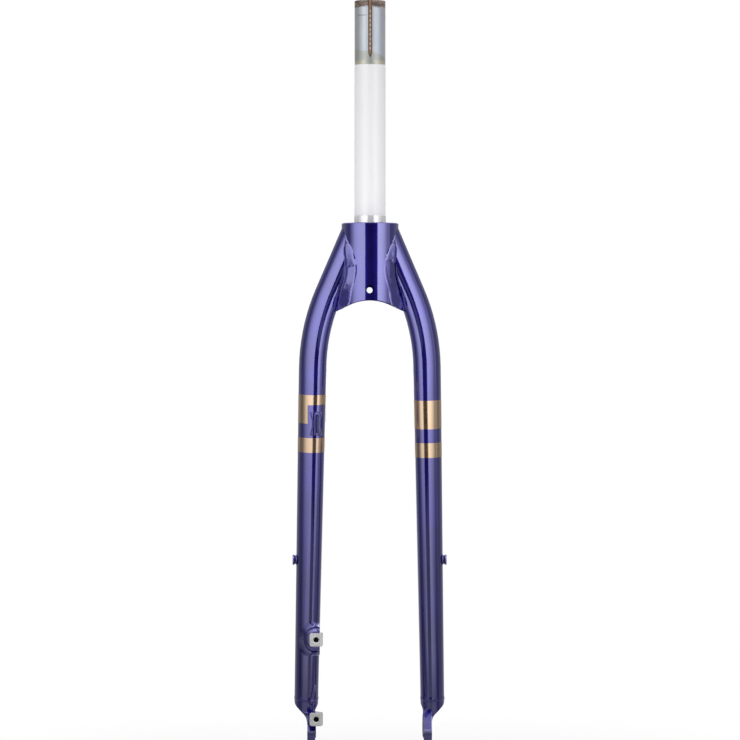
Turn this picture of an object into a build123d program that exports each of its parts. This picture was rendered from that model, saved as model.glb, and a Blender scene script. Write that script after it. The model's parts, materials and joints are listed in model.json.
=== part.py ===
from build123d import *
import math
import os

# Rigid bicycle fork, in millimetres. The z axis is the steerer axis, pointing up.
# z = 0 is the crown shoulder that the headset race sits on, +y is forwards and +x is the rider's right.

os.makedirs("parts", exist_ok=True)

# Steerer tube
steerer_od = 28.6
steerer_wall = 1.6
steerer_top = 206.0
steerer_edge = 0.5
seat_od = 30.0
seat_height = 6.5
groove_width = 3.8
groove_depth = 0.8
groove_length = 53.0
groove_point = 5.0

# White protective sleeve on the steerer, which is turned down a little under it
sleeve_top = 146.6
sleeve_film = 0.2
sleeve_relief = 0.3
sleeve_gap = 0.3

# Crown
crown_od = 53.4
crown_wall = 2.6
crown_edge = 0.6
shoulder_depth = 14.0
arch_radius = 42.0
arch_top = 71.2
arch_flank = 26.0
rear_hole_d = 7.8
front_hole_d = 5.5
crown_hole_depth = 61.6

# Where the wheel axle sits, and where the raked blades cross the steerer axis
axle_drop = 470.0
axle_offset = 47.0
rake_start = 39.0

# Blades
blade_top_od = 26.0
blade_end_od = 22.2
blade_wall = 1.1
blade_lean = 23.2
blade_tuck = 12.0
bend_radius = 181.0
bend_half_width = 52.3
bend_depth = 97.7
blade_end_half_width = 59.0
blade_end_height = 27.0

# Weld leaf between blade and crown: its toe as degrees from the back, its flat and the flat's slope
weld_depths = (12.0, 18.0, 25.0, 36.0, 44.0, 53.0, 65.0, 75.0, 87.0)
weld_toes = (54.0, 46.0, 35.0, 27.0, 25.0, 29.0, 37.0, 43.0, 50.0)
weld_flats = (0.3, 1.5, 7.0, 9.8, 10.6, 10.5, 12.0, 14.0, 14.0)
weld_slopes = (38.0, 38.0, 38.0, 38.0, 38.0, 40.0, 44.0, 48.0, 52.0)
weld_root = 0.8
weld_rise = 0.7
weld_toe_turn = 5.0
weld_shoulder_run = 1.8
weld_shoulder_drop = 3.2

# Dropouts
hub_spacing = 100.0
plate_thickness = 7.4
hub_face_rise = 0.8
hub_face_radius = 11.0
axle_slot_width = 9.0
plate_radius = 14.5
tip_length = 12.0
tip_round = 2.0
eyelet_forward = -16.5
eyelet_up = -3.5
eyelet_radius = 7.0
thread_m5_d = 4.2
neck_start = 5.2
neck_slope_run = 12.0
neck_inner_run = 5.0
neck_round = 6.0
neck_margin = 0.05
spigot_length = 18.0
spigot_clearance = 0.1

# Weld ring between blade and dropout
ring_weld_width = 6.0
ring_weld_rise = 0.25

# Caliper posts
post_spacing = 74.0
post_half_width = 49.8
post_lower_height = 8.7
post_face = 17.0
post_side = 12.5
post_round = 2.2
post_edge = 0.5
post_bevel_width = 2.2
post_bevel_depth = 1.2
thread_m6_d = 5.0
thread_m6_length = 10.5
thread_edge = 0.8
lower_post_straight = 10.0
pedestal_radius = 12.0
pedestal_neck_radius = 7.6
pedestal_rise = 6.0
pedestal_bulge = 1.2
post_weld_width = 3.0

# Hose guide
guide_inboard = 3.2
guide_length = 21.6
guide_width = 10.4
guide_waist = 8.0
guide_height = 1.8
guide_round = 1.6
rib_spacing = 2.6
rib_width = 2.0
rib_length = 19.4
rib_rise = 1.7
rib_round = 0.7

# Rack bosses
boss_depth = 313.0
boss_flange_d = 9.8
boss_neck_d = 8.0
boss_shank_d = 7.0
boss_rise = 3.5
boss_flange_thickness = 1.2
boss_shank_length = 8.0

# Decal bands, as depths on the blade axis
band_film = 0.2
left_bands_top = 158.0
right_bands_top = 163.2
upper_band_length = 26.6
lower_band_length = 13.7
right_band_gap = 12.9
notch_drop = 9.3
notch_side_gap = 1.8
guide_drop = 7.9
guide_gap = 1.1

# Sizes that follow from the ones above
steerer_r = steerer_od / 2
bore_r = steerer_r - steerer_wall
relief_r = steerer_r - sleeve_relief
seat_r = seat_od / 2
crown_r = crown_od / 2
hub_half = hub_spacing / 2
blade_end_depth = axle_drop - blade_end_height
post_lower_depth = axle_drop - post_lower_height
post_upper_depth = post_lower_depth - post_spacing
arch_centre = arch_top + arch_radius
rake = math.atan2(axle_offset, axle_drop - rake_start)
left_bands_notch = left_bands_top + notch_drop
guide_depth = left_bands_notch + guide_drop + guide_length / 2
left_lower_top = guide_depth + guide_length / 2 + guide_gap
right_lower_top = right_bands_top + upper_band_length + right_band_gap
crown_length = arch_top + crown_r

# The blades lie in one plane that leans forwards. In it, x is the rider's right and y runs up the blade.
blade_normal = (0, -math.cos(rake), -math.sin(rake))
blade_plane = Plane(origin=(0, 0, -rake_start), x_dir=(1, 0, 0), z_dir=blade_normal)


def on_blade_plane(half_width, depth):
    return Vector(half_width, (rake_start - depth) / math.cos(rake))


lean = math.radians(blade_lean)
upper_way = Vector(math.sin(lean), -math.cos(lean))
bend_corner = on_blade_plane(bend_half_width, bend_depth)
blade_end = on_blade_plane(blade_end_half_width, blade_end_depth)
lower_way = (blade_end - bend_corner).normalized()
bend_angle = blade_lean - math.degrees(math.atan2(lower_way.X, -lower_way.Y))
tangent_length = bend_radius * math.tan(math.radians(bend_angle) / 2)
bend_start = bend_corner - upper_way * tangent_length
bend_end = bend_corner + lower_way * tangent_length
blade_start = bend_start - upper_way * ((bend_start.X - blade_tuck) / upper_way.X)
lower_axis = Axis(
    blade_plane.from_local_coords(bend_end),
    blade_plane.from_local_coords(lower_way) - blade_plane.origin,
)
taper_length = (blade_end - bend_end).length


def taper_radius(run):
    return (blade_top_od + (blade_end_od - blade_top_od) * run / taper_length) / 2


def axis_run(depth):
    return (bend_end.Y - (rake_start - depth) / math.cos(rake)) / -lower_way.Y


def beside_axis(run, radius):
    across = Vector(-lower_way.Y, lower_way.X)
    return bend_end + lower_way * run + across * radius


# Solid that follows the right blade, larger or smaller all round by the growth
def blade_form(growth):
    with BuildPart() as form:
        with BuildLine(blade_plane) as path:
            straight = Line(tuple(blade_start), tuple(bend_start))
            JernArc(straight @ 1, straight % 1, bend_radius, -bend_angle)
        with BuildSketch(Plane(path.line @ 0, z_dir=path.line % 0)):
            Circle(blade_top_od / 2 + growth)
        sweep(path=path.line)
        with BuildSketch(blade_plane):
            with BuildLine():
                Polyline(
                    beside_axis(0, 0),
                    beside_axis(0, taper_radius(0) + growth),
                    beside_axis(taper_length, taper_radius(taper_length) + growth),
                    beside_axis(taper_length, 0),
                    close=True,
                )
            make_face()
        revolve(axis=lower_axis)
    return form.part


# Steerer tube with its crown race seat
with BuildPart() as steerer_tube:
    with BuildSketch(Plane.XZ):
        with BuildLine():
            Polyline(
                (bore_r, -shoulder_depth),
                (relief_r, -shoulder_depth),
                (relief_r, 0),
                (seat_r, 0),
                (seat_r, seat_height),
                (relief_r, seat_height),
                (relief_r, sleeve_top),
                (steerer_r, sleeve_top),
                (steerer_r, steerer_top),
                (bore_r, steerer_top),
                close=True,
            )
        make_face()
    revolve(axis=Axis.Z)
    chamfer(steerer_tube.edges().group_by(Axis.Z)[-1], steerer_edge)
    with BuildSketch(Plane.XZ.offset(steerer_r - groove_depth)):
        with BuildLine():
            Polyline(
                (-groove_width / 2, steerer_top),
                (-groove_width / 2, steerer_top - groove_length + groove_point),
                (0, steerer_top - groove_length),
                (groove_width / 2, steerer_top - groove_length + groove_point),
                (groove_width / 2, steerer_top),
                close=True,
            )
        make_face()
    extrude(amount=steerer_r, mode=Mode.SUBTRACT)

# White sleeve
with BuildPart() as steerer_sleeve:
    with BuildSketch(Plane.XY.offset(seat_height + sleeve_gap)):
        Circle(steerer_r + sleeve_film)
        Circle(relief_r, mode=Mode.SUBTRACT)
    extrude(amount=sleeve_top - seat_height - sleeve_gap)

# Room for the tyre under the crown: an arch that runs out straight on both sides
flank = math.radians(arch_flank)
flank_x = arch_radius * math.sin(flank)
flank_z = arch_radius * math.cos(flank) - arch_centre
flank_end_x = flank_x + crown_od * math.cos(flank)
flank_end_z = flank_z - crown_od * math.sin(flank)

with BuildPart() as arch_form:
    with BuildSketch(Plane.XZ):
        with BuildLine():
            ThreePointArc((-flank_x, flank_z), (0, -arch_top), (flank_x, flank_z))
            Polyline(
                (flank_x, flank_z),
                (flank_end_x, flank_end_z),
                (-flank_end_x, flank_end_z),
                (-flank_x, flank_z),
            )
        make_face()
    extrude(amount=crown_od, both=True)

# Crown: a cup with a thick shoulder, its foot arched over the tyre
with BuildPart() as crown:
    with BuildSketch(Plane.XZ):
        with BuildLine():
            Polyline(
                (relief_r, 0),
                (crown_r, 0),
                (crown_r, -crown_length),
                (crown_r - crown_wall, -crown_length),
                (crown_r - crown_wall, -shoulder_depth),
                (relief_r, -shoulder_depth),
                close=True,
            )
        make_face()
    revolve(axis=Axis.Z)
    chamfer(crown.edges().group_by(Axis.Z)[-1].sort_by(SortBy.LENGTH)[-1], crown_edge)
    add(arch_form.part, mode=Mode.SUBTRACT)
    with BuildSketch(Plane.XZ):
        with Locations((0, -crown_hole_depth)):
            Circle(rear_hole_d / 2)
    extrude(amount=crown_od, mode=Mode.SUBTRACT)
    with BuildSketch(Plane.XZ):
        with Locations((0, -crown_hole_depth)):
            Circle(front_hole_d / 2)
    extrude(amount=-crown_od, mode=Mode.SUBTRACT)

# Solid forms that the blades and what sits on them are cut from
blade_outer = blade_form(0)
blade_inner = blade_form(-blade_wall)

with BuildPart() as crown_form:
    with BuildSketch(Plane.XY.offset(-crown_length)):
        Circle(crown_r)
    extrude(amount=crown_length + crown_r)

# Right blade, mitred onto the crown, with the hole for its rack boss
boss_run = axis_run(boss_depth)
boss_r = taper_radius(boss_run)
boss_axis_point = blade_plane.from_local_coords(beside_axis(boss_run, 0))
boss_plane = Plane(boss_axis_point, x_dir=(0, 1, 0), z_dir=(1, 0, 0))

with BuildPart() as right_blade:
    add(blade_outer)
    add(blade_inner, mode=Mode.SUBTRACT)
    add(crown_form.part, mode=Mode.SUBTRACT)
    with BuildSketch(boss_plane):
        Circle(boss_shank_d / 2)
    extrude(amount=blade_top_od, mode=Mode.SUBTRACT)

with BuildPart() as left_blade:
    mirror(right_blade.part, about=Plane.YZ)

# Rack bosses: turned inserts through the blade wall, with a waisted collar outside
with BuildPart() as right_blade_boss:
    with BuildSketch(Plane(boss_axis_point, x_dir=(1, 0, 0), z_dir=(0, -1, 0))):
        with BuildLine():
            Polyline(
                (boss_r - boss_shank_length, 0),
                (boss_r - boss_shank_length, boss_shank_d / 2),
                (boss_r, boss_shank_d / 2),
                (boss_r, boss_flange_d / 2),
                (boss_r + boss_rise - 2 * boss_flange_thickness, boss_neck_d / 2),
                (boss_r + boss_rise - boss_flange_thickness, boss_flange_d / 2),
                (boss_r + boss_rise, boss_flange_d / 2),
                (boss_r + boss_rise, 0),
                close=True,
            )
        make_face()
    revolve(axis=Axis(boss_axis_point, (1, 0, 0)))
    add(right_blade.part, mode=Mode.SUBTRACT)
    with BuildSketch(boss_plane):
        Circle(thread_m5_d / 2)
    extrude(amount=blade_top_od, mode=Mode.SUBTRACT)

with BuildPart() as left_blade_boss:
    mirror(right_blade_boss.part, about=Plane.YZ)

# Dropouts. Seen from the side, x runs forwards and y runs up the blade, from the axle.
axle_forward = (0, math.cos(rake), math.sin(rake))
axle_plane = Plane((hub_half, axle_offset, -axle_drop), x_dir=axle_forward, z_dir=(1, 0, 0))
plate_plane = axle_plane.offset(hub_face_rise)
end_point = blade_plane.from_local_coords(blade_end)
end_plane = Plane(end_point, x_dir=(0, 1, 0), z_dir=lower_axis.direction)
end_r = blade_end_od / 2
plate_inner = hub_half + hub_face_rise
plate_outer = plate_inner + plate_thickness
blade_end_up = (blade_end_depth - axle_drop) / -math.cos(rake)

# Neck: the blade's round section, narrowed from both sides down to the plate
with BuildPart() as right_neck:
    with BuildSketch(end_plane):
        Circle(end_r)
    extrude(amount=blade_end_up)
    with BuildSketch(blade_plane):
        with BuildLine():
            neck_inner = FilletPolyline(
                blade_end + (-end_r - neck_margin, 0),
                blade_end + (-end_r - neck_margin, -neck_start),
                (plate_inner, blade_end.Y - neck_start - neck_inner_run),
                (plate_inner, blade_end.Y - 2 * blade_end_up),
                radius=neck_round,
            )
            neck_outer = FilletPolyline(
                blade_end + (end_r + neck_margin, 0),
                blade_end + (end_r + neck_margin, -neck_start),
                (plate_outer, blade_end.Y - neck_start - neck_slope_run),
                (plate_outer, blade_end.Y - 2 * blade_end_up),
                radius=neck_round,
            )
            Line(neck_inner @ 0, neck_outer @ 0)
            Line(neck_inner @ 1, neck_outer @ 1)
        make_face()
    extrude(amount=blade_end_od, both=True, mode=Mode.INTERSECT)

with BuildPart() as right_dropout:
    with BuildSketch(plate_plane) as outline:
        Circle(plate_radius)
        with Locations((eyelet_forward, eyelet_up)):
            Circle(eyelet_radius)
        with Locations((0, blade_end_up - neck_start - neck_slope_run)):
            Circle(end_r)
        make_hull()
        with Locations((0, -tip_length)):
            below = (Align.CENTER, Align.MAX)
            Rectangle(4 * plate_radius, 2 * plate_radius, align=below, mode=Mode.SUBTRACT)
        fillet(outline.vertices().group_by(Axis.Y)[0], tip_round)
    extrude(amount=plate_thickness)
    with BuildSketch(axle_plane):
        Circle(hub_face_radius)
    extrude(amount=hub_face_rise)
    add(right_neck.part)
    with BuildSketch(end_plane):
        Circle(end_r - blade_wall - spigot_clearance)
    extrude(amount=-spigot_length)
    with BuildSketch(axle_plane):
        Circle(axle_slot_width / 2)
        with Locations((0, 0)):
            Rectangle(axle_slot_width, 2 * plate_radius, align=(Align.CENTER, Align.MAX))
    extrude(amount=2 * plate_thickness, mode=Mode.SUBTRACT)
    with BuildSketch(axle_plane):
        with Locations((eyelet_forward, eyelet_up)):
            Circle(thread_m5_d / 2)
    extrude(amount=2 * plate_thickness, mode=Mode.SUBTRACT)

# Lower caliper post: a square head that narrows on to the left dropout's plate
def post_plane(depth, forward):
    return Plane((-post_half_width, forward, -depth), x_dir=(1, 0, 0), z_dir=(0, -1, 0))


post_root = axle_offset - plate_radius / 2

# Wedge that bevels the inner edge of a post's face
bevel_inner = -post_half_width + post_side / 2

with BuildPart() as post_bevel:
    with BuildSketch(Plane.XY.offset(-post_lower_depth - post_side)):
        with BuildLine():
            Polyline(
                (bevel_inner - post_bevel_width, post_face),
                (bevel_inner + post_bevel_width, post_face - post_bevel_depth),
                (bevel_inner + post_bevel_width, post_face + 2 * post_bevel_depth),
                close=True,
            )
        make_face()
    extrude(amount=post_spacing + 2 * post_side)

with BuildPart() as lower_post:
    with BuildSketch(post_plane(post_lower_depth, post_face)):
        RectangleRounded(post_side, post_side, post_round)
    extrude(amount=-lower_post_straight)
    chamfer(lower_post.edges().group_by(Axis.Y)[0], post_edge)
    add(post_bevel.part, mode=Mode.SUBTRACT)
    with BuildSketch(post_plane(post_lower_depth, post_face + lower_post_straight)):
        RectangleRounded(post_side, post_side, post_round)
    with BuildSketch(post_plane(post_lower_depth, post_root)):
        with Locations((post_half_width - (plate_inner + plate_outer) / 2, 0)):
            RectangleRounded(plate_thickness, post_side, post_round)
    loft()

with BuildPart() as left_dropout:
    mirror(right_dropout.part, about=Plane.YZ)
    add(lower_post.part)
    with BuildSketch(Plane((-hub_half, axle_offset, -axle_drop), x_dir=(0, 1, 0), z_dir=(1, 0, 0))):
        Circle(hub_face_radius)
    extrude(amount=post_side, mode=Mode.SUBTRACT)
    with Locations(post_plane(post_lower_depth, post_face)):
        CounterSinkHole(thread_m6_d / 2, thread_m6_d / 2 + thread_edge, thread_m6_length)

# Upper caliper post on its round pedestal, seated on the left blade
with BuildPart() as left_blade_form:
    mirror(blade_outer, about=Plane.YZ)

post_run = axis_run(post_upper_depth)
post_blade_r = taper_radius(post_run)
post_blade_axis = blade_plane.from_local_coords(beside_axis(post_run, 0))
pedestal_foot = post_blade_axis.Y - post_blade_r / 2
pedestal_top = post_blade_axis.Y - post_blade_r - pedestal_rise

with BuildPart() as caliper_upper_post:
    with BuildSketch(Plane((-post_half_width, 0, -post_upper_depth), x_dir=(1, 0, 0), z_dir=(0, 0, 1))):
        with BuildLine():
            pedestal_edge = Vector(pedestal_radius, pedestal_top + pedestal_rise)
            pedestal_neck = Vector(pedestal_neck_radius, pedestal_top)
            Polyline(pedestal_neck, (0, pedestal_top), (0, pedestal_foot), (pedestal_radius, pedestal_foot), pedestal_edge)
            SagittaArc(pedestal_edge, pedestal_neck, pedestal_bulge)
        make_face()
    revolve(axis=Axis((-post_half_width, 0, -post_upper_depth), (0, 1, 0)))
    inner_side = -(post_blade_axis.X - post_blade_r)
    split(bisect_by=Plane((inner_side, 0, 0), z_dir=(-1, 0, 0)))
    with BuildSketch(post_plane(post_upper_depth, post_face)):
        RectangleRounded(post_side, post_side, post_round)
    extrude(amount=-(pedestal_foot - post_face))
    chamfer(caliper_upper_post.edges().group_by(Axis.Y)[0], post_edge)
    add(post_bevel.part, mode=Mode.SUBTRACT)
    add(left_blade_form.part, mode=Mode.SUBTRACT)
    with Locations(post_plane(post_upper_depth, post_face)):
        CounterSinkHole(thread_m6_d / 2, thread_m6_d / 2 + thread_edge, thread_m6_length)

# Weld round the foot of the upper post
with BuildPart() as caliper_post_weld:
    with BuildSketch(Plane((-post_half_width, 0, -post_upper_depth), x_dir=(1, 0, 0), z_dir=(0, 0, 1))):
        with BuildLine():
            Polyline(
                (pedestal_radius - post_weld_width, pedestal_foot),
                (pedestal_radius + post_weld_width, pedestal_foot),
                (pedestal_radius, pedestal_top + pedestal_rise - post_weld_width),
                close=True,
            )
        make_face()
    revolve(axis=Axis((-post_half_width, 0, -post_upper_depth), (0, 1, 0)))
    split(bisect_by=Plane((inner_side, 0, 0), z_dir=(-1, 0, 0)))
    add(left_blade_form.part, mode=Mode.SUBTRACT)
    add(caliper_upper_post.part, mode=Mode.SUBTRACT)

# Weld rings between blades and dropouts
with BuildPart() as right_dropout_weld:
    with BuildSketch(blade_plane):
        with BuildLine():
            bead_low = beside_axis(taper_length + ring_weld_width / 2, end_r - blade_wall / 2)
            bead_high = beside_axis(taper_length - ring_weld_width / 2, end_r - blade_wall / 2)
            bead_crest = beside_axis(taper_length, end_r + ring_weld_rise)
            ThreePointArc(bead_low, bead_crest, bead_high)
            Line(bead_high, bead_low)
        make_face()
    revolve(axis=lower_axis)
    add(blade_outer, mode=Mode.SUBTRACT)
    add(right_dropout.part, mode=Mode.SUBTRACT)

with BuildPart() as left_dropout_weld:
    mirror(right_dropout_weld.part, about=Plane.YZ)

# Point on or beside the crown, at an angle from the back
def around_crown(radius, degrees):
    return Vector(radius * math.sin(math.radians(degrees)), -radius * math.cos(math.radians(degrees)))


# Weld leaf behind the right blade, lofted down the crevice
with BuildPart() as weld_leaf:
    for depth, toe, flat, slope in zip(weld_depths, weld_toes, weld_flats, weld_slopes):
        root = around_crown(crown_r - weld_root, toe)
        crest = around_crown(crown_r + weld_rise, toe + weld_toe_turn)
        along_flat = Vector(math.cos(math.radians(slope)), math.sin(math.radians(slope)))
        shoulder = crest + along_flat * flat
        foot = shoulder + Vector(weld_shoulder_run, weld_shoulder_drop)
        with BuildSketch(Plane.XY.offset(-depth)):
            with BuildLine():
                Polyline(root, crest, shoulder, foot, (foot.X, 0), (root.X, 0), close=True)
            make_face()
    loft()

# The leaves behind and in front of each blade, cut by crown, blade and arch
with BuildPart() as right_rear_weld:
    add(weld_leaf.part)
    add(crown_form.part, mode=Mode.SUBTRACT)
    add(blade_outer, mode=Mode.SUBTRACT)
    add(arch_form.part, mode=Mode.SUBTRACT)

with BuildPart() as right_front_weld:
    mirror(weld_leaf.part, about=Plane.XZ)
    add(crown_form.part, mode=Mode.SUBTRACT)
    add(blade_outer, mode=Mode.SUBTRACT)
    add(arch_form.part, mode=Mode.SUBTRACT)

with BuildPart() as left_rear_weld:
    mirror(right_rear_weld.part, about=Plane.YZ)

with BuildPart() as left_front_weld:
    mirror(right_front_weld.part, about=Plane.YZ)

# Hose guide on the back of the left blade: a waisted saddle with two ribs
guide_run = axis_run(guide_depth)
guide_axis = blade_plane.from_local_coords(beside_axis(guide_run, 0))
guide_plane = Plane(
    (-(guide_axis.X - guide_inboard), guide_axis.Y, guide_axis.Z),
    x_dir=(1, 0, 0),
    z_dir=blade_plane.z_dir,
)
guide_lift = Axis(guide_plane.origin, guide_plane.z_dir)
guide_back = taper_radius(guide_run) + guide_height

with BuildPart() as hose_guide:
    with BuildSketch(guide_plane):
        with BuildLine():
            corner_right = (guide_width / 2, guide_length / 2)
            corner_left = (-guide_width / 2, guide_length / 2)
            foot_right = (guide_width / 2, -guide_length / 2)
            foot_left = (-guide_width / 2, -guide_length / 2)
            Line(corner_left, corner_right)
            ThreePointArc(corner_right, (guide_waist / 2, 0), foot_right)
            Line(foot_right, foot_left)
            ThreePointArc(foot_left, (-guide_waist / 2, 0), corner_left)
        make_face()
    extrude(amount=guide_back)
    fillet(hose_guide.edges().filter_by(guide_lift), guide_round)
    with BuildSketch(guide_plane.offset(guide_back)):
        with GridLocations(rib_spacing, 0, 2, 1):
            SlotOverall(rib_length, rib_width, rotation=90)
    extrude(amount=rib_rise)
    rib_tops = hose_guide.faces().filter_by(guide_lift).sort_by(guide_lift)[-2:]
    fillet(rib_tops.edges(), rib_round)
    add(left_blade_form.part, mode=Mode.SUBTRACT)

# Gold decal bands, wrapped round the blades
def band(top, length):
    top_run = axis_run(top)
    end_run = axis_run(top + length)
    with BuildPart() as wrap:
        with BuildSketch(blade_plane):
            with BuildLine():
                Polyline(
                    beside_axis(top_run, taper_radius(top_run)),
                    beside_axis(top_run, taper_radius(top_run) + band_film),
                    beside_axis(end_run, taper_radius(end_run) + band_film),
                    beside_axis(end_run, taper_radius(end_run)),
                    close=True,
                )
            make_face()
        revolve(axis=lower_axis)
    return wrap.part


right_upper_wrap = band(right_bands_top, upper_band_length)
right_lower_wrap = band(right_lower_top, lower_band_length)
left_upper_wrap = band(left_bands_top, upper_band_length)
left_lower_wrap = band(left_lower_top, lower_band_length)

with BuildPart() as right_upper_band:
    add(right_upper_wrap)

with BuildPart() as right_lower_band:
    add(right_lower_wrap)

with BuildPart() as left_lower_band:
    mirror(left_lower_wrap, about=Plane.YZ)

# The upper left band stops short round the hose guide
with BuildPart() as left_upper_band:
    mirror(left_upper_wrap, about=Plane.YZ)
    with BuildSketch(blade_plane):
        notch_side = guide_plane.origin.X - guide_width / 2 - notch_side_gap
        with Locations(on_blade_plane(notch_side, left_bands_notch)):
            Rectangle(2 * blade_top_od, 2 * upper_band_length, align=(Align.MIN, Align.MAX))
    extrude(amount=blade_top_od, mode=Mode.SUBTRACT)

for piece, name in (
    (steerer_tube, "steerer_tube"),
    (steerer_sleeve, "steerer_sleeve"),
    (crown, "crown"),
    (right_blade, "right_blade"),
    (left_blade, "left_blade"),
    (right_blade_boss, "right_blade_boss"),
    (left_blade_boss, "left_blade_boss"),
    (right_dropout, "right_dropout"),
    (left_dropout, "left_dropout"),
    (caliper_upper_post, "caliper_upper_post"),
    (caliper_post_weld, "caliper_post_weld"),
    (right_dropout_weld, "right_dropout_weld"),
    (left_dropout_weld, "left_dropout_weld"),
    (right_rear_weld, "right_rear_weld"),
    (right_front_weld, "right_front_weld"),
    (left_rear_weld, "left_rear_weld"),
    (left_front_weld, "left_front_weld"),
    (hose_guide, "hose_guide"),
    (right_upper_band, "right_upper_band"),
    (right_lower_band, "right_lower_band"),
    (left_upper_band, "left_upper_band"),
    (left_lower_band, "left_lower_band"),
):
    piece.part.label = name
    export_step(piece.part, f"parts/{name}.step")
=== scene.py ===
import json
import math
import bpy
import bmesh
from mathutils import Matrix, Vector, bvhtree, kdtree
from mathutils import noise as fieldNoise


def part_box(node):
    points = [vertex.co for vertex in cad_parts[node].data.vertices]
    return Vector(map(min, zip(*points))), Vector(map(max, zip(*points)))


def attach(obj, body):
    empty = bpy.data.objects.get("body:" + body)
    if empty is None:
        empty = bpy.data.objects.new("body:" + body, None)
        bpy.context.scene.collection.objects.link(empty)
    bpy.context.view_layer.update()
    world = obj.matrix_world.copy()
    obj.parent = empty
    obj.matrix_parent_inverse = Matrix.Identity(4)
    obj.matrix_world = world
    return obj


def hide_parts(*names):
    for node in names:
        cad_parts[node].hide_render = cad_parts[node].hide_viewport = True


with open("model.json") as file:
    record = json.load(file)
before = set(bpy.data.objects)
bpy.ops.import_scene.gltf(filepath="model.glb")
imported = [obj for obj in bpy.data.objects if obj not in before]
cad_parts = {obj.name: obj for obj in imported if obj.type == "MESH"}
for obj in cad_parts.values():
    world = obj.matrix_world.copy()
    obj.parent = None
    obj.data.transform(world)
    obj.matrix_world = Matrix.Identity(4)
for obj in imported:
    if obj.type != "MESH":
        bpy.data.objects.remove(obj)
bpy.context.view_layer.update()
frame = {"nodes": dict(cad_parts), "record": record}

mm = 0.001
nodes = frame["nodes"]
print("frame loaded:", len(nodes), "nodes")


class Wire:
    # one shader socket, so that sums on it read as sums
    def __init__(self, tree, socket=None):
        self.tree = tree
        self.socket = socket

    def add(self, kind, settings=None, values=None, out=0):
        node = self.tree.nodes.new(kind)
        for key, value in (settings or {}).items():
            setattr(node, key, value)
        for key, value in (values or {}).items():
            if isinstance(value, Wire):
                self.tree.links.new(value.socket, node.inputs[key])
            else:
                node.inputs[key].default_value = value
        return Wire(self.tree, node.outputs[out] if node.outputs else None)

    def sum(self, operation, first, second=0.0):
        return self.add("ShaderNodeMath", {"operation": operation}, {0: first, 1: second})

    def __add__(self, other):
        return self.sum("ADD", self, other)

    def __radd__(self, other):
        return self.sum("ADD", other, self)

    def __sub__(self, other):
        return self.sum("SUBTRACT", self, other)

    def __rsub__(self, other):
        return self.sum("SUBTRACT", other, self)

    def __mul__(self, other):
        return self.sum("MULTIPLY", self, other)

    def __rmul__(self, other):
        return self.sum("MULTIPLY", other, self)

    def __truediv__(self, other):
        return self.sum("DIVIDE", self, other)

    def __abs__(self):
        return self.sum("ABSOLUTE", self)

    def larger(self, other):
        return self.sum("MAXIMUM", self, other)

    def smaller(self, other):
        return self.sum("MINIMUM", self, other)

    def root(self):
        return self.sum("SQRT", self)

    def step(self, low, high):  # 0 below low, 1 above high, smooth between
        return self.add("ShaderNodeMapRange", {"interpolation_type": "SMOOTHSTEP"},
                        {"Value": self, "From Min": low, "From Max": high})

    def between(self, low, high, soft):
        return self.step(low - soft, low + soft) * (1 - self.step(high - soft, high + soft))

    def mix(self, first, second):  # colours, by this wire's value
        return self.add("ShaderNodeMix", {"data_type": "RGBA"}, {0: self, 6: first, 7: second}, 2)


def startMaterial(name):
    material = bpy.data.materials.new(name)
    material.use_nodes = True
    material.node_tree.nodes.clear()
    wire = Wire(material.node_tree)
    place = wire.add("ShaderNodeTexCoord", out="Object")
    return material, wire, place


def axes(place):
    return [place.add("ShaderNodeSeparateXYZ", values={0: place}, out=n) for n in range(3)]


def axesInMm(place):
    return [part * 1000.0 for part in axes(place)]


def turnFromBack(across, along):  # degrees round the steerer axis, to the right is positive
    return across.sum("ARCTAN2", across, 0 - along) * (180.0 / math.pi)


def noise(place, scale, detail=3.0, roughness=0.5, stretch=(1, 1, 1)):
    spot = place.add("ShaderNodeMapping", values={"Vector": place, "Scale": stretch})
    return place.add("ShaderNodeTexNoise",
                     values={"Vector": spot, "Scale": scale, "Detail": detail, "Roughness": roughness})


def opaque(colour):
    return (*colour, 1)


def closeMaterial(wire, values):
    shader = wire.add("ShaderNodeBsdfPrincipled", values=values)
    wire.add("ShaderNodeOutputMaterial", values={"Surface": shader})


def dress(material, *names):
    for name in names:
        nodes[name].data.materials.clear()
        nodes[name].data.materials.append(material)


# violet candy paint over bright metal flake
# the coat is thin and dull on the sloping neck edges, whose heights and sides are in mm
paint = {"deep": (0.011, 0.004, 0.235), "lit": (0.018, 0.008, 0.310), "cloudScale": 38.0,
         "flake": (0.08, 0.06, 0.48), "flakeScale": 5200.0, "flakeFrom": 0.86, "flakeShare": 0.5,
         "metallic": 0.9, "roughness": 0.335, "patchScale": 90.0, "patchRoughness": 0.10,
         "peelScale": 620.0, "peel": 0.02, "peelDepth": 0.0004, "coatRoughness": 0.03, "coatIor": 2.2,
         "neckTop": -453.5, "neckFoot": -471.5, "neckSides": (50.5, 57.7), "neckDull": 0.25, "neckThin": 0.65}


def paintedColour(place):
    cloud = noise(place, paint["cloudScale"], 4.0)
    sparkle = place.add("ShaderNodeTexVoronoi", {"feature": "F1"},
                        {"Vector": place, "Scale": paint["flakeScale"]}, "Color")
    grain = axes(sparkle)[0]
    body = cloud.step(0.3, 0.7).mix(opaque(paint["deep"]), opaque(paint["lit"]))
    return (grain.step(paint["flakeFrom"], 1.0) * paint["flakeShare"]).mix(body, opaque(paint["flake"]))


def paintNeck(place):
    across, along, up = axesInMm(place)
    inHeight = up.between(paint["neckFoot"], paint["neckTop"], 1.0)
    return inHeight * abs(across).between(*paint["neckSides"], 0.3)


def paintRoughness(place):
    patches = (noise(place, paint["patchScale"], 3.0) - 0.5) * paint["patchRoughness"]
    return paint["roughness"] + patches + paintNeck(place) * paint["neckDull"]


def paintCoat(place):
    return 1 - paintNeck(place) * paint["neckThin"]


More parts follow.
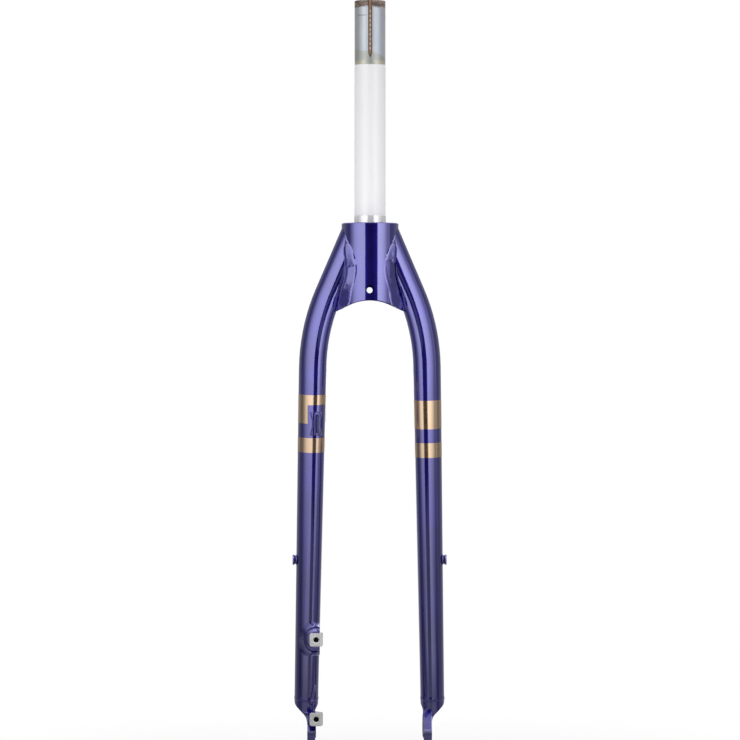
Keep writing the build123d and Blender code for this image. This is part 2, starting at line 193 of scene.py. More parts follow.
def paintPeel(place):
    peel = noise(place, paint["peelScale"], 2.0)
    return place.add("ShaderNodeBump",
                     values={"Strength": paint["peel"], "Distance": paint["peelDepth"], "Height": peel})


violet, wire, place = startMaterial("violet_candy")
closeMaterial(wire, {"Base Color": paintedColour(place), "Metallic": paint["metallic"],
                     "Roughness": paintRoughness(place), "Normal": paintPeel(place),
                     "Coat Weight": paintCoat(place), "Coat Roughness": paint["coatRoughness"],
                     "Coat IOR": paint["coatIor"]})
dress(violet, "crown", "left_blade", "right_blade", "left_rear_weld", "left_front_weld", "right_rear_weld",
      "right_front_weld", "right_dropout", "left_dropout_weld", "right_dropout_weld", "caliper_post_weld",
      "hose_guide", "left_blade_boss", "right_blade_boss")

# the same paint, machined away on the caliper post faces, their bevels and the mouths of their holes; mm; the
# bevels and hole mouths are coloured a brighter steel, a painted highlight
facing = {"face": 17.0, "bevelFrom": -46.6, "bevelSlope": 0.55, "holes": ((-49.8, -387.3), (-49.8, -461.3)),
          "mouth": 3.4, "steel": (0.95, 0.95, 0.95), "cut": (0.80, 0.80, 0.81), "bright": (0.98, 0.98, 0.97),
          "lessMetallic": 0.88, "rougher": 0.15}
machined, wire, place = startMaterial("violet_candy_faced_posts")
across, along, up = axesInMm(place)
bevel = (across - facing["bevelFrom"]).larger(0.0) * facing["bevelSlope"]
bare = 1 - (along - bevel).step(facing["face"] + 0.25, facing["face"] + 0.65)
# bright: a painted highlight, a brighter steel colour on the bevel and round the hole mouths that stands in
# for their reflection
bright = across.step(facing["bevelFrom"] - 0.3, facing["bevelFrom"] + 0.8)
nearFace = 1 - along.step(facing["face"] + 1.0, facing["face"] + 1.4)
for holeX, holeZ in facing["holes"]:
    fromHole = ((across - holeX) * (across - holeX) + (up - holeZ) * (up - holeZ)).root()
    bare = bare.larger((1 - fromHole.step(facing["mouth"] - 0.1, facing["mouth"] + 0.1)) * nearFace)
    bright = bright.larger(1 - fromHole.step(facing["mouth"], facing["mouth"] + 0.5))
cutMarks = noise(place, 900.0, 2.0, stretch=(0.12, 1, 1))
cutSteel = cutMarks.step(0.35, 0.65).mix(opaque(facing["cut"]), opaque(facing["steel"]))
cutSteel = bright.mix(cutSteel, opaque(facing["bright"]))
closeMaterial(wire, {"Base Color": bare.mix(paintedColour(place), cutSteel), "Normal": paintPeel(place),
                     "Metallic": paint["metallic"] - bare * facing["lessMetallic"],
                     "Roughness": paintRoughness(place) + bare * facing["rougher"],
                     "Coat Weight": (1 - bare) * paintCoat(place),
                     "Coat Roughness": paint["coatRoughness"], "Coat IOR": paint["coatIor"]})
dress(machined, "caliper_upper_post", "left_dropout")

# steerer: bare steel, rusty at the cut top and in the groove, polished on the race seat
# heights in mm, turns in degrees
steel = {"bright": (0.60, 0.63, 0.67), "blue": (0.50, 0.55, 0.63), "olive": (0.40, 0.41, 0.34),
         "cream": (0.66, 0.61, 0.49), "rust": (0.085, 0.043, 0.029), "rustPale": (0.31, 0.215, 0.165),
         "grooveFloor": (0.30, 0.19, 0.125), "grooveEdge": (0.13, 0.065, 0.035),
         "scratch": (0.12, 0.135, 0.135), "seat": (0.92, 0.92, 0.91), "seatTop": (6.8, 7.2),
         "top": 206.0, "rustDepth": 6.4, "rustShare": 0.9,
         "grooveEnd": 151.8, "grooveHalf": 1.95, "scratchDrop": 14.0, "scratchTurn": (-52.0, -15.0),
         "oliveTurn": (-62.0, -30.0), "oliveTop": (155.6, 158.6), "creamTop": (148.4, 151.4),
         "stainsAbove": (20.0, 30.0), "metallic": 0.62, "roughness": 0.45}
bareSteel, wire, place = startMaterial("bare_steerer_steel")
across, along, up = axesInMm(place)
turn = turnFromBack(across, along)
mottle = noise(place, 240.0, 5.0, 0.62, (0.7, 0.7, 2.2))
brush = noise(place, 420.0, 3.0, stretch=(1, 1, 0.06))
drift = noise(place, 55.0, 3.0)
toTop = steel["top"] - up
rustEdge = toTop + (mottle - 0.5) * 5.0
rustTop = (1 - rustEdge.step(steel["rustDepth"] - 1.2, steel["rustDepth"] + 0.9)) * steel["rustShare"]
grooveHalf = steel["grooveHalf"] * ((up - steel["grooveEnd"]) * 0.2).smaller(1.0)  # runs out at its foot
inGroove = (1 - (abs(across) - grooveHalf).step(-0.35, 0.1)) * (1 - along.step(-13.0, -11.0))
grooveRim = (abs(across) - grooveHalf).step(-1.15, -0.55)
highUp = up.step(*steel["stainsAbove"])
oliveLeft = (1 - (turn + (drift - 0.5) * 60.0).step(*steel["oliveTurn"])) * 0.75
oliveLow = (1 - (up + across * 0.25 + (drift - 0.5) * 9.0).step(*steel["oliveTop"])) * highUp
creamLow = (1 - (up + (drift - 0.5) * 5.0).step(*steel["creamTop"])) * highUp * abs(turn).step(10.0, 28.0)
scratchLine = toTop.between(steel["scratchDrop"] - 0.25, steel["scratchDrop"] + 0.25, 0.18)
scratchLine = scratchLine * turn.between(*steel["scratchTurn"], 4.0)
seat = 1 - up.step(*steel["seatTop"])
colour = brush.step(0.3, 0.7).mix(opaque(steel["blue"]), opaque(steel["bright"]))
colour = (oliveLeft * 0.55).mix(colour, opaque(steel["olive"]))
colour = (oliveLow * 0.62).mix(colour, opaque(steel["olive"]))
colour = (creamLow * 0.8).mix(colour, opaque(steel["cream"]))
colour = scratchLine.mix(colour, opaque(steel["scratch"]))
colour = rustTop.mix(colour, mottle.step(0.42, 0.60).mix(opaque(steel["rust"]), opaque(steel["rustPale"])))
colour = inGroove.mix(colour, grooveRim.mix(opaque(steel["grooveFloor"]), opaque(steel["grooveEdge"])))
colour = seat.mix(colour, opaque(steel["seat"]))
dull = rustTop.larger(inGroove)
scuff = place.add("ShaderNodeBump",
                  values={"Strength": 0.12, "Distance": 0.0003, "Height": brush + dull * mottle * 2.0})
closeMaterial(wire, {"Base Color": colour, "Metallic": steel["metallic"] - dull * 0.5 - seat * 0.3,
                     "Roughness": steel["roughness"] + dull * 0.35 - seat * 0.25 + (mottle - 0.5) * 0.12,
                     "Normal": scuff})
dress(bareSteel, "steerer_tube")

# white sleeve, a smooth film with faint smudges and one loop-shaped crease, whose shade is painted into the
# colour as a darker ring
film = {"white": (0.90, 0.90, 0.92), "smudge": (0.76, 0.77, 0.80), "roughness": 0.34,
        "coat": 0.25, "coatRoughness": 0.2, "rubHeight": (110.0, 146.0), "lipHeight": (145.8, 146.5),
        "loopAt": (-11.2, 142.6), "loopHalf": (1.5, 2.5)}
whiteFilm, wire, place = startMaterial("white_sleeve_film")
across, along, up = axesInMm(place)
smear = noise(place, 70.0, 4.0, 0.6, (1, 1, 0.25)).step(0.52, 0.78) * 0.35
rub = noise(place, 700.0, 4.0, 0.7).step(0.62, 0.80) * up.step(*film["rubHeight"]) * 0.35
lip = up.step(*film["lipHeight"]) * 0.3
# the crease is only painted shade: a darker elliptical ring in the colour, with no fold in the surface
loopX = (across - film["loopAt"][0]) / film["loopHalf"][0]
loopZ = (up - film["loopAt"][1]) / film["loopHalf"][1]
creaseShade = (loopX * loopX + loopZ * loopZ).root().between(0.88, 1.08, 0.12) * (1 - along.step(-3.0, 0.0)) * 0.5
waves = noise(place, 120.0, 2.0, stretch=(1, 1, 0.2))
ripple = place.add("ShaderNodeBump", values={"Strength": 0.05, "Distance": 0.0005, "Height": waves})
smudgesAndCreaseShade = smear + rub + lip + creaseShade
closeMaterial(wire, {"Base Color": smudgesAndCreaseShade.mix(opaque(film["white"]), opaque(film["smudge"])),
                     "Roughness": film["roughness"] + (smear + rub) * 0.3, "Normal": ripple,
                     "Coat Weight": film["coat"], "Coat Roughness": film["coatRoughness"]})
dress(whiteFilm, "steerer_sleeve")

# gold decal bands
gold = {"warm": (0.61, 0.43, 0.285), "pale": (0.66, 0.48, 0.33), "roughness": 0.18, "coatRoughness": 0.05}
goldBand, wire, place = startMaterial("gold_band")
shimmer = noise(place, 2600.0, 2.0)
closeMaterial(wire, {"Base Color": shimmer.step(0.3, 0.7).mix(opaque(gold["warm"]), opaque(gold["pale"])),
                     "Metallic": 1.0, "Roughness": gold["roughness"] + (noise(place, 110.0) - 0.5) * 0.12,
                     "Normal": paintPeel(place), "Coat Weight": 1.0, "Coat Roughness": gold["coatRoughness"]})
dress(goldBand, "left_upper_band", "left_lower_band", "right_upper_band", "right_lower_band")
print("materials on the CAD nodes")


def finishPiece(name, mesh, material, slotName, *stood, angle=35.0):
    for face in mesh.faces:
        face.smooth = True
    for edge in mesh.edges:
        edge.smooth = len(edge.link_faces) != 2 or edge.calc_face_angle(0.0) < math.radians(angle)
    data = bpy.data.meshes.new(name)
    mesh.to_mesh(data)
    mesh.free()
    data.materials.append(material)
    piece = bpy.data.objects.new(name, data)
    bpy.context.collection.objects.link(piece)
    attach(piece, "root")
    for node in stood:
        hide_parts(node)


def soft(value):
    value = max(0.0, min(1.0, value))
    return value * value * (3 - 2 * value)


def relax(mesh, verts, rounds):
    for smoothing in range(rounds):
        bmesh.ops.smooth_vert(mesh, verts=verts, factor=0.5,
                              use_axis_x=True, use_axis_y=True, use_axis_z=True)


def nearest(verts):
    tree = kdtree.KDTree(len(verts))
    for number, vert in enumerate(verts):
        tree.insert(vert.co, number)
    tree.balance()
    return tree


def skinOf(*names):  # one search tree over nodes or finished pieces, for laying things on them
    joined = bmesh.new()
    for name in names:
        joined.from_mesh(bpy.data.objects[name].data)
    tree = bvhtree.BVHTree.FromBMesh(joined)
    joined.free()
    return tree


# welds: finer copies of the CAD beads, pinned along their toes, with ripples and lumps between; mm
# a swell is its top, foot, softness at the top, where it is fullest across, and how proud it stands
rearLeaf = {"grain": 0.9, "ripple": 0.035, "pin": 2.2, "crest": 26.95}
frontLeaf = {"grain": 1.2, "lump": 0.40, "lumpSize": 6.5, "ripple": 0.10, "pitch": 3.2, "pin": 2.2,
             "crest": 26.95}
dropoutRing = {"grain": 0.7, "lump": 0.30, "lumpSize": 3.0, "ripple": 0.18, "pitch": 2.3, "pin": 1.0}
welds = {"left_rear_weld": {**rearLeaf, "lump": 0.30, "lumpSize": 8.5, "pitch": 3.4, "seed": 3.0,
                            "swells": ((-15.0, -37.0, 4.0, 0.8, 1.1), (-37.5, -59.0, 2.5, 0.72, 1.5))},
         "right_rear_weld": {**rearLeaf, "lump": 0.20, "lumpSize": 9.0, "pitch": 2.9, "seed": 11.0,
                             "swells": ((-14.0, -31.0, 4.0, 0.8, 1.0), (-32.0, -68.0, 3.5, 1.0, -2.6))},
         "left_front_weld": {**frontLeaf, "seed": 21.0},
         "right_front_weld": {**frontLeaf, "seed": 31.0},
         "left_dropout_weld": {**dropoutRing, "seed": 41.0},
         "right_dropout_weld": {**dropoutRing, "seed": 51.0},
         "caliper_post_weld": {"grain": 0.7, "lump": 0.45, "lumpSize": 3.6, "ripple": 0.10, "pitch": 2.4,
                               "pin": 1.0, "seed": 61.0, "relax": 12}}
weldEdges = {"toeAngle": 32.0, "crestBelow": -14.0, "crestInside": 24.5, "crestReach": 2.5, "crestRounds": 12}
for name, weld in welds.items():
    mesh = bmesh.new()
    mesh.from_mesh(nodes[name].data)
    mesh.transform(nodes[name].matrix_world)
    bmesh.ops.remove_doubles(mesh, verts=mesh.verts, dist=0.002 * mm)
    for halving in range(5):
        longEdges = [edge for edge in mesh.edges if edge.calc_length() > weld["grain"] * mm]
        bmesh.ops.subdivide_edges(mesh, edges=longEdges, cuts=1)
        bmesh.ops.triangulate(mesh, faces=mesh.faces)
    mesh.normal_update()
    sharp = math.radians(weldEdges["toeAngle"])
    toes = {vert for edge in mesh.edges if edge.calc_face_angle(0.0) > sharp for vert in edge.verts}
    if "crest" in weld:  # the leaf's edge along the crown is rounded, so it isn't held
        below, inside = weldEdges["crestBelow"] * mm, weldEdges["crestInside"] * mm
        crest = {vert for vert in toes if math.hypot(vert.co.x, vert.co.y) > weld["crest"] * mm
                 and vert.co.z < below and abs(vert.co.x) < inside}
        toes -= crest
        near = nearest(crest)
        reach = weldEdges["crestReach"] * mm
        rounded = [vert for vert in mesh.verts if vert not in toes and near.find(vert.co)[2] < reach]
        relax(mesh, rounded, weldEdges["crestRounds"])
        mesh.normal_update()
    relax(mesh, [vert for vert in mesh.verts if vert not in toes], weld.get("relax", 0))
    skinVerts = [vert for vert in mesh.verts if vert.normal.y < -0.25]
    spans = {}
    for vert in skinVerts:
        low, high = spans.get(round(vert.co.z / mm), (1.0, 0.0))
        spans[round(vert.co.z / mm)] = (min(low, abs(vert.co.x)), max(high, abs(vert.co.x)))
    for top, foot, topSoft, peak, proud in weld.get("swells", ()):
        for vert in skinVerts:
            low, high = spans[round(vert.co.z / mm)]
            across = (abs(vert.co.x) - low) / max(high - low, 0.1 * mm)
            full = across / peak if across <= peak else math.cos((across - peak) / (1 - peak) * math.pi / 2)
            wander = 1.5 * fieldNoise.noise(Vector((vert.co.x / mm / 3.0, weld["seed"], 0)))
            drop = vert.co.z / mm + wander + across * 3.0
            vert.co.y -= proud * mm * full * soft((top - drop) / topSoft) * soft((drop - foot) / 6.0)
    mesh.normal_update()
    tree = nearest(toes)
    middle = sum((vert.co for vert in mesh.verts), Vector()) / len(mesh.verts)
    moves = {}
    for vert in mesh.verts:
        hold = min(1.0, tree.find(vert.co)[2] / mm / weld["pin"])
        spot = vert.co / mm
        around = spot.z
        if "dropout" in name:  # ripples run round these rings, about 11 mm in radius
            around = math.atan2(vert.co.y - middle.y, vert.co.x - middle.x) * 11.0
        wander = fieldNoise.noise(spot / 5.0 + Vector((weld["seed"], 0, 0)))
        height = weld["lump"] * fieldNoise.noise(spot / weld["lumpSize"] + Vector((0, weld["seed"], 0)))
        height += weld["ripple"] * math.sin(2 * math.pi * around / weld["pitch"] + 2.5 * wander)
        moves[vert] = vert.normal * (height * hold * mm)
    for vert, move in moves.items():
        vert.co += move
    finishPiece(name + "_rippled", mesh, violet, "violet_paint", name)
print("weld ripples")

# beads of filler along the groove in the steerer, coloured lighter than the groove floor, partly as a painted
# highlight; mm
beads = {"top": 195.6, "pitch": 4.28, "count": 9, "floorY": -13.5, "half": (0.72, 0.42, 1.35),
         "colour": (0.58, 0.46, 0.38)}
# filler colour: partly a painted highlight, lighter than the groove floor to stand in for the glints on the
# beads
beadFillerPaintedHighlight, wire, place = startMaterial("groove_filler_painted_highlight")
closeMaterial(wire, {"Base Color": opaque(beads["colour"]), "Metallic": 0.4,
                     "Roughness": 0.42 + (noise(place, 900.0) - 0.5) * 0.3})
mesh = bmesh.new()
for number in range(beads["count"]):
    drift = fieldNoise.noise(Vector((number * 1.7, 4.0, 0)))
    shape = Matrix.Diagonal((*[size * mm * (1 + 0.25 * drift) for size in beads["half"]], 1.0))
    spot = Vector((0.12 * drift, beads["floorY"], beads["top"] - beads["pitch"] * number + 0.5 * drift)) * mm
    bmesh.ops.create_icosphere(mesh, subdivisions=3, radius=1.0, matrix=Matrix.Translation(spot) @ shape)
finishPiece("groove_beads", mesh, beadFillerPaintedHighlight, "bare_steel")

# thread turns inside the tapped holes, placed by the record's mounts; mm
# lift is how far above its mount a hole is, past how far beyond it the mouth lies
threads = {"upper_post_thread": {"mount": "caliper_posts", "lift": 37.0, "kind": "post"},
           "lower_post_thread": {"mount": "caliper_posts", "lift": -37.0, "kind": "post"},
           "left_eyelet_thread": {"mount": "left_eyelet", "lift": 0.0, "kind": "eyelet"},
           "right_eyelet_thread": {"mount": "right_eyelet", "lift": 0.0, "kind": "eyelet"},
           "left_boss_thread": {"mount": "left_rack_boss", "lift": 0.0, "kind": "boss"},
           "right_boss_thread": {"mount": "right_rack_boss", "lift": 0.0, "kind": "boss"}}
tooth = {"tip": 0.26, "root": 0.02}  # how far tips and roots stand in from the bore
mounts = {mount["name"]: mount for mount in frame["record"]["mounts"]}
# thread steel coloured near black: painted shade inside the tapped holes
threadSteelPaintedShade, wire, place = startMaterial("thread_steel_painted_shade")
closeMaterial(wire, {"Base Color": (0.03, 0.03, 0.032, 1), "Metallic": 0.6,
                     "Roughness": 0.45 + (noise(place, 700.0) - 0.5) * 0.2})
threadKinds = {
    "post": {"radius": 2.5, "turns": 9, "pitch": 1.0, "past": 0.55,
             "material": threadSteelPaintedShade, "slot": "bare_steel"},
    "eyelet": {"radius": 2.1, "turns": 9, "pitch": 0.8, "past": 3.7,
               "material": violet, "slot": "violet_paint"},
    "boss": {"radius": 2.1, "turns": 13, "pitch": 0.8, "past": 5.8,
             "material": violet, "slot": "violet_paint"}}
for name, thread in threads.items():
    kind = threadKinds[thread["kind"]]
    radius, pitch = kind["radius"], kind["pitch"]
    tip, root = radius - tooth["tip"], radius - tooth["root"]
    outline = [(radius, 0.0)]
    for number in range(kind["turns"]):
        outline += [(tip, -(number + 0.45) * pitch), (tip, -(number + 0.55) * pitch),
                    (root, -(number + 1) * pitch)]
    mesh = bmesh.new()
    ring = [mesh.verts.new((outward * mm, 0, height * mm)) for outward, height in outline]
    edges = [mesh.edges.new(pair) for pair in zip(ring, ring[1:] + ring[:1])]
    bmesh.ops.spin(mesh, geom=ring + edges, cent=(0, 0, 0), axis=(0, 0, 1), angle=2 * math.pi, steps=32,
                   use_merge=True)
    bmesh.ops.remove_doubles(mesh, verts=mesh.verts, dist=0.002 * mm)
    if thread["kind"] == "post":  # bottom of the hole, near black with painted shade
        bmesh.ops.create_circle(mesh, cap_ends=True, segments=32, radius=(radius - 0.1) * mm,
                                matrix=Matrix.Translation((0, 0, 0.3 * mm - kind["turns"] * pitch * mm)))
    bmesh.ops.recalc_face_normals(mesh, faces=mesh.faces)
    mount = mounts[thread["mount"]]
    out = Vector(mount["axis"])
    mouth = Vector(mount["pos_m"]) + out * kind["past"] * mm + Vector((0, 0, thread["lift"])) * mm
    mesh.transform(Matrix.Translation(mouth) @ out.to_track_quat("Z", "Y").to_matrix().to_4x4())
    finishPiece(name, mesh, kind["material"], kind["slot"])
print("groove beads and threads")

# runs of weld metal beside the caliper posts: ends as x and z, half width and how proud; mm
lumps = {"upper_post_run": {"from": (-53.6, -373.0), "to": (-51.4, -379.8), "half": 2.0, "proud": 1.9},
         "lower_post_run": {"from": (-51.2, -432.2), "to": (-54.4, -444.6), "half": 2.2, "proud": 1.7},
         "lower_post_drop": {"from": (-54.2, -446.0), "to": (-54.0, -446.9), "half": 2.7, "proud": 2.2},
         "foot_drop": {"from": (-57.4, -450.0), "to": (-57.2, -450.6), "half": 1.5, "proud": 1.1}}
lumpSkin = {"uneven": 0.22, "size": 2.2}
forward = Vector((0, 1, 0))
skin = skinOf("left_blade", "left_dropout", "left_dropout_weld", "caliper_post_weld")
mesh = bmesh.new()
for lump in lumps.values():
    ends = [skin.ray_cast(Vector((x, -1000.0, z)) * mm, forward)[0] for x, z in (lump["from"], lump["to"])]
    run = ends[1] - ends[0]
    half = Vector((lump["half"], lump["proud"], lump["half"] + run.length / mm / 2)) * mm
    lay = Matrix.Translation((ends[0] + ends[1]) / 2) @ run.to_track_quat("Z", "Y").to_matrix().to_4x4()
    bmesh.ops.create_uvsphere(mesh, u_segments=32, v_segments=28, radius=1.0,
                              matrix=lay @ Matrix.Diagonal((*half, 1.0)))
for vert in mesh.verts:
    vert.co.y += lumpSkin["uneven"] * mm * fieldNoise.noise(vert.co / (lumpSkin["size"] * mm))
bmesh.ops.recalc_face_normals(mesh, faces=mesh.faces)
finishPiece("weld_runs", mesh, violet, "violet_paint")

# weld blends: a fine sheet laid on the skin along aim, filled where the skin is hollow; mm
# only what was filled by the least or more is kept, and it gets a back that lies deep in the skin
leftEnd = ("left_blade", "left_dropout", "left_dropout_weld_rippled")
rightEnd = ("right_blade", "right_dropout", "right_dropout_weld_rippled")
rearNeck = {"height": (-476.0, -440.0), "grain": 0.4, "rounds": 160, "aim": (0, 1, 0)}
sideNeck = {"across": (12.0, 52.0), "height": (-469.0, -440.0), "grain": 0.5, "rounds": 140}
blends = {"upper_post_blend": {"across": (-66.0, -40.0), "height": (-403.0, -371.0), "grain": 0.4,
                               "rounds": 190, "aim": (0, 1, 0),
                               "on": ("left_blade", "caliper_post_weld_rippled")},
          "left_neck_blend": {**rearNeck, "across": (-64.0, -57.6), "on": leftEnd},
          "right_neck_blend": {**rearNeck, "across": (46.0, 64.0), "on": rightEnd},
          "right_neck_outer_blend": {**sideNeck, "aim": (-1, 0, 0), "on": rightEnd},
          "right_neck_inner_blend": {**sideNeck, "aim": (1, 0, 0), "on": rightEnd},
          "left_neck_outer_blend": {**sideNeck, "aim": (1, 0, 0), "on": leftEnd}}
blendSheet = {"least": 0.04, "deep": 0.6}
for name, blend in blends.items():
    skin = skinOf(*blend["on"])
    aim = Vector(blend["aim"])
    sideways = Vector((abs(aim.y), abs(aim.x), 0))
    left, right = blend["across"]
    foot, top = blend["height"]
    mesh = bmesh.new()
    bmesh.ops.create_grid(mesh, x_segments=round((right - left) / blend["grain"]),
                          y_segments=round((top - foot) / blend["grain"]), size=0.5)
    missed = []
    for vert in mesh.verts:
        level = Vector((0, 0, foot + (vert.co.y + 0.5) * (top - foot)))
        spot = sideways * (left + (vert.co.x + 0.5) * (right - left)) + level - aim * 1000.0
        hit = skin.ray_cast(spot * mm, aim)[0]
        if hit is None:
            missed.append(vert)
        else:
            vert.co = hit
    bmesh.ops.delete(mesh, geom=missed, context="VERTS")
    ground = {vert: vert.co.dot(aim) for vert in mesh.verts}
    depth = dict(ground)
    around = {vert: [edge.other_vert(vert) for edge in vert.link_edges]
              for vert in mesh.verts if len(vert.link_edges) == 4}
    for filling in range(blend["rounds"]):
        means = {vert: sum(depth[other] for other in others) / 4 for vert, others in around.items()}
        for vert, mean in means.items():
            depth[vert] = min(depth[vert], mean)
    for vert in mesh.verts:
        vert.co += aim * (depth[vert] - ground[vert])
    least = blendSheet["least"] * mm
    filled = {vert for vert in mesh.verts if ground[vert] - depth[vert] >= least}
    untouched = [face for face in mesh.faces if filled.isdisjoint(face.verts)]
    bmesh.ops.delete(mesh, geom=untouched, context="FACES")
    backing = bmesh.ops.extrude_face_region(mesh, geom=mesh.faces[:])
    backVerts = [part for part in backing["geom"] if isinstance(part, bmesh.types.BMVert)]
    bmesh.ops.translate(mesh, verts=backVerts, vec=aim * blendSheet["deep"] * mm)
    bmesh.ops.recalc_face_normals(mesh, faces=mesh.faces)
    finishPiece(name, mesh, violet, "violet_paint")
print("weld runs and blends")

# hose guide: waisted pad with two round ribs, laid on the left blade; mm
guide = {"length": 22.0, "endHalf": 5.5, "waistHalf": 3.9, "rise": 1.7, "edge": 1.1, "sunk": 0.3,
         "shift": (0.9, 1.5), "ribs": (-0.5, 2.2), "ribHalf": 1.1, "ribLength": 19.0, "ribRise": 2.1,
         "ribEnd": 1.2, "rows": 72, "columns": 48}
low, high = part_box("hose_guide")
middle = (Vector(low) + Vector(high)) / 2 + Vector((guide["shift"][0], 0, guide["shift"][1])) * mm
skin = skinOf("left_blade")
sunk = guide["sunk"]
mesh = bmesh.new()
bmesh.ops.create_grid(mesh, x_segments=guide["columns"], y_segments=guide["rows"], size=0.5)
for vert in mesh.verts:
    upward = vert.co.y * (guide["length"] + 2 * sunk)
    widen = soft(abs(upward) / (guide["length"] / 2) * 1.15 - 0.15)
    waist = guide["waistHalf"] + (guide["endHalf"] - guide["waistHalf"]) * widen
    side = vert.co.x * 2 * (waist + sunk)
    inside = min(waist - abs(side), guide["length"] / 2 - abs(upward))
    height = -sunk + (guide["rise"] + sunk) * soft((inside + sunk) / (guide["edge"] + sunk))
    for rib in guide["ribs"]:
        bow = abs(side - rib * (0.8 + 0.2 * waist / guide["waistHalf"])) / guide["ribHalf"]
        if bow < 1:
            ribEnd = soft((guide["ribLength"] / 2 - abs(upward)) / guide["ribEnd"])
            height += guide["ribRise"] * math.cos(bow * math.pi / 2) ** 2 * ribEnd
    hit = skin.ray_cast(Vector((middle.x + side * mm, -1.0, middle.z + upward * mm)), forward)[0]
    vert.co = hit - forward * height * mm
mesh.normal_update()
finishPiece("hose_guide_ribbed", mesh, violet, "violet_paint", "hose_guide", angle=60.0)
print("hose guide")

# floor that fades out into the white surroundings
studioFloor = {"height": -0.4862, "radius": 0.45, "fadeFrom": 0.04, "cover": 0.22,
               "colour": (0.95, 0.95, 0.95), "roughness": 0.8}
mesh = bmesh.new()
bmesh.ops.create_circle(mesh, cap_ends=True, segments=96, radius=studioFloor["radius"])
bmesh.ops.translate(mesh, verts=mesh.verts, vec=(0, 0, studioFloor["height"]))
floorMesh = bpy.data.meshes.new("floor")
mesh.to_mesh(floorMesh)
mesh.free()
floor = bpy.data.objects.new("floor", floorMesh)
bpy.context.collection.objects.link(floor)
floorPaint, wire, place = startMaterial("pale_floor")
across, along = axes(place)[:2]
reach = (across * across + along * along).root()
fade = 1 - (1 - reach.step(studioFloor["fadeFrom"], studioFloor["radius"] * 0.95)) * studioFloor["cover"]
plain = wire.add("ShaderNodeBsdfPrincipled",
                 values={"Base Color": opaque(studioFloor["colour"]), "Roughness": studioFloor["roughness"]})
clear = wire.add("ShaderNodeBsdfTransparent")
faded = wire.add("ShaderNodeMixShader", values={0: fade, 1: plain, 2: clear})
wire.add("ShaderNodeOutputMaterial", values={"Surface": faded})
floorMesh.materials.append(floorPaint)

# camera square on the back of the fork, a little to the left
view = {"back": 4.0, "left": 0.056, "height": -0.136, "aimX": 0.0, "angle": 9.80}
cameraData = bpy.data.cameras.new("camera")
camera = bpy.data.objects.new("camera", cameraData)
bpy.context.collection.objects.link(camera)
camera.location = (-view["left"], -view["back"], view["height"])
aim = Vector((view["aimX"], 0, view["height"])) - camera.location
camera.rotation_euler = aim.to_track_quat("-Z", "Y").to_euler()
cameraData.sensor_fit = "HORIZONTAL"
cameraData.angle = math.radians(view["angle"])
cameraData.clip_end = 50
bpy.context.scene.camera = camera

# tall softboxes close to the back of the fork, and two further off before its front
# each is brightest along its inner edge, and fades outwards and down; x and y of the edges in metres
softboxes = {
    "left": {"inner": (-0.034, -0.105), "outer": (-0.40, -0.05), "radiance": 2.0, "fade": (0.05, 0.75)},
    "right": {"inner": (0.052, -0.105), "outer": (0.40, -0.05), "radiance": 2.5, "fade": (0.0, 0.5)},
    "front_left": {"inner": (-0.03, 0.38), "outer": (-0.18, 0.35), "radiance": 2.0, "fade": (0.2, 1.0)},
    "front_right": {"inner": (0.03, 0.38), "outer": (0.18, 0.35), "radiance": 2.0, "fade": (0.2, 1.0)}}
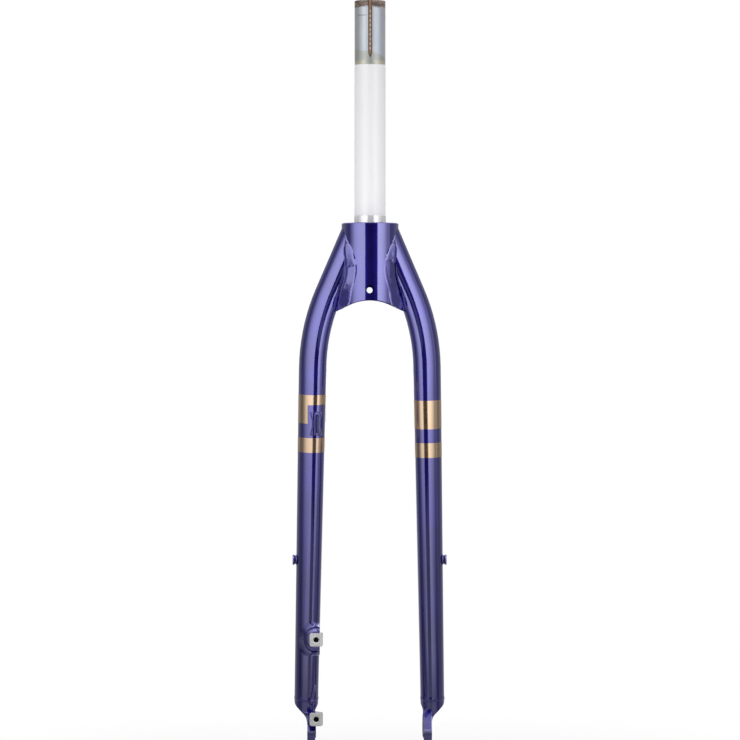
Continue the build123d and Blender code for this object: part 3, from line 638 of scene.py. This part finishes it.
# the rises say from and to which share of the height, and how much brighter
boxShape = {"height": 1.0, "middle": -0.2, "fadeShare": 0.8, "foot": 0.05,
            "rises": ((0.20, 0.27, 0.2), (0.24, 0.70, 0.75), (0.70, 0.76, -0.2))}
for name, box in softboxes.items():
    inner, outer = Vector((*box["inner"], boxShape["middle"])), Vector((*box["outer"], boxShape["middle"]))
    lamp = bpy.data.lights.new("softbox_" + name, "AREA")
    lamp.shape = "RECTANGLE"
    lamp.size = (outer - inner).length
    lamp.size_y = boxShape["height"]
    lamp.energy = box["radiance"] * math.pi * lamp.size * lamp.size_y
    lamp.use_nodes = True
    lamp.node_tree.nodes.clear()
    wire = Wire(lamp.node_tree)
    cross, rise = axes(wire.add("ShaderNodeNewGeometry", out="Parametric"))[:2]
    mirrored = (inner.x > outer.x) == (inner.y < 0)
    fromInner = 1 - cross if mirrored else cross
    upwards = boxShape["foot"]
    for start, end, gain in boxShape["rises"]:
        upwards = upwards + rise.step(start, end) * gain
    strength = (1 - fromInner.step(*box["fade"]) * boxShape["fadeShare"]) * upwards
    shine = wire.add("ShaderNodeEmission", values={"Strength": strength})
    wire.add("ShaderNodeOutputLight", values={"Surface": shine})
    lampObject = bpy.data.objects.new("softbox_" + name, lamp)
    lampObject.location = (inner + outer) / 2
    facingFork = Vector((0, 0, 1)).cross(outer - inner) * (-1 if mirrored else 1)
    lampObject.rotation_euler = facingFork.to_track_quat("-Z", "Y").to_euler()
    lampObject.visible_camera = False
    bpy.context.collection.objects.link(lampObject)

# surroundings: white to the eye, otherwise dark towards the camera and pale at the sides, beyond and above
# turns in degrees from the back, heights as a sine: from, to, softness where it has one, and brightness
# lowTurn and rearTurn only bound low and rearSky sideways, so they have no brightness
room = {"base": 0.015, "leftSide": (-114.0, -80.0, 8.0, 0.16), "rightSide": (72.0, 114.0, 10.0, 0.22),
        "beyond": (114.0, 165.0, 12.0, 0.34), "low": (0.257, 0.33, 0.006, 0.2), "lowTurn": (-50.0, 50.0, 6.0),
        "rearSky": (0.40, 0.85, 0.08, 0.4), "rearTurn": (95.0, 125.0),
        "above": (0.42, 0.8, 0.5), "below": (0.42, 0.8, 0.2)}


def glowBand(value, low, high, softness, brightness):
    return value.between(low, high, softness) * brightness


world = bpy.data.worlds.new("studio")
bpy.context.scene.world = world
world.use_nodes = True
world.node_tree.nodes.clear()
wire = Wire(world.node_tree)
across, along, up = axes(wire.add("ShaderNodeTexCoord", out="Generated"))
turn = turnFromBack(across, along)
glow = room["base"] + glowBand(turn, *room["leftSide"]) + glowBand(turn, *room["rightSide"])
glow = glow + glowBand(abs(turn), *room["beyond"])
glow = glow + glowBand(0 - up, *room["low"]) * turn.between(*room["lowTurn"])
glow = glow + glowBand(up, *room["rearSky"]) * abs(turn).step(*room["rearTurn"])
for height, name in ((up, "above"), (0 - up, "below")):
    start, end, brightness = room[name]
    glow = glow + height.step(start, end) * brightness
seen = wire.add("ShaderNodeLightPath", out="Is Camera Ray")
background = wire.add("ShaderNodeBackground",
                      values={"Color": (1, 1, 1, 1), "Strength": seen + (1 - seen) * glow})
wire.add("ShaderNodeOutputWorld", values={"Surface": background})

bpy.context.scene.view_settings.view_transform = "Standard"
print("stage, camera and lights")
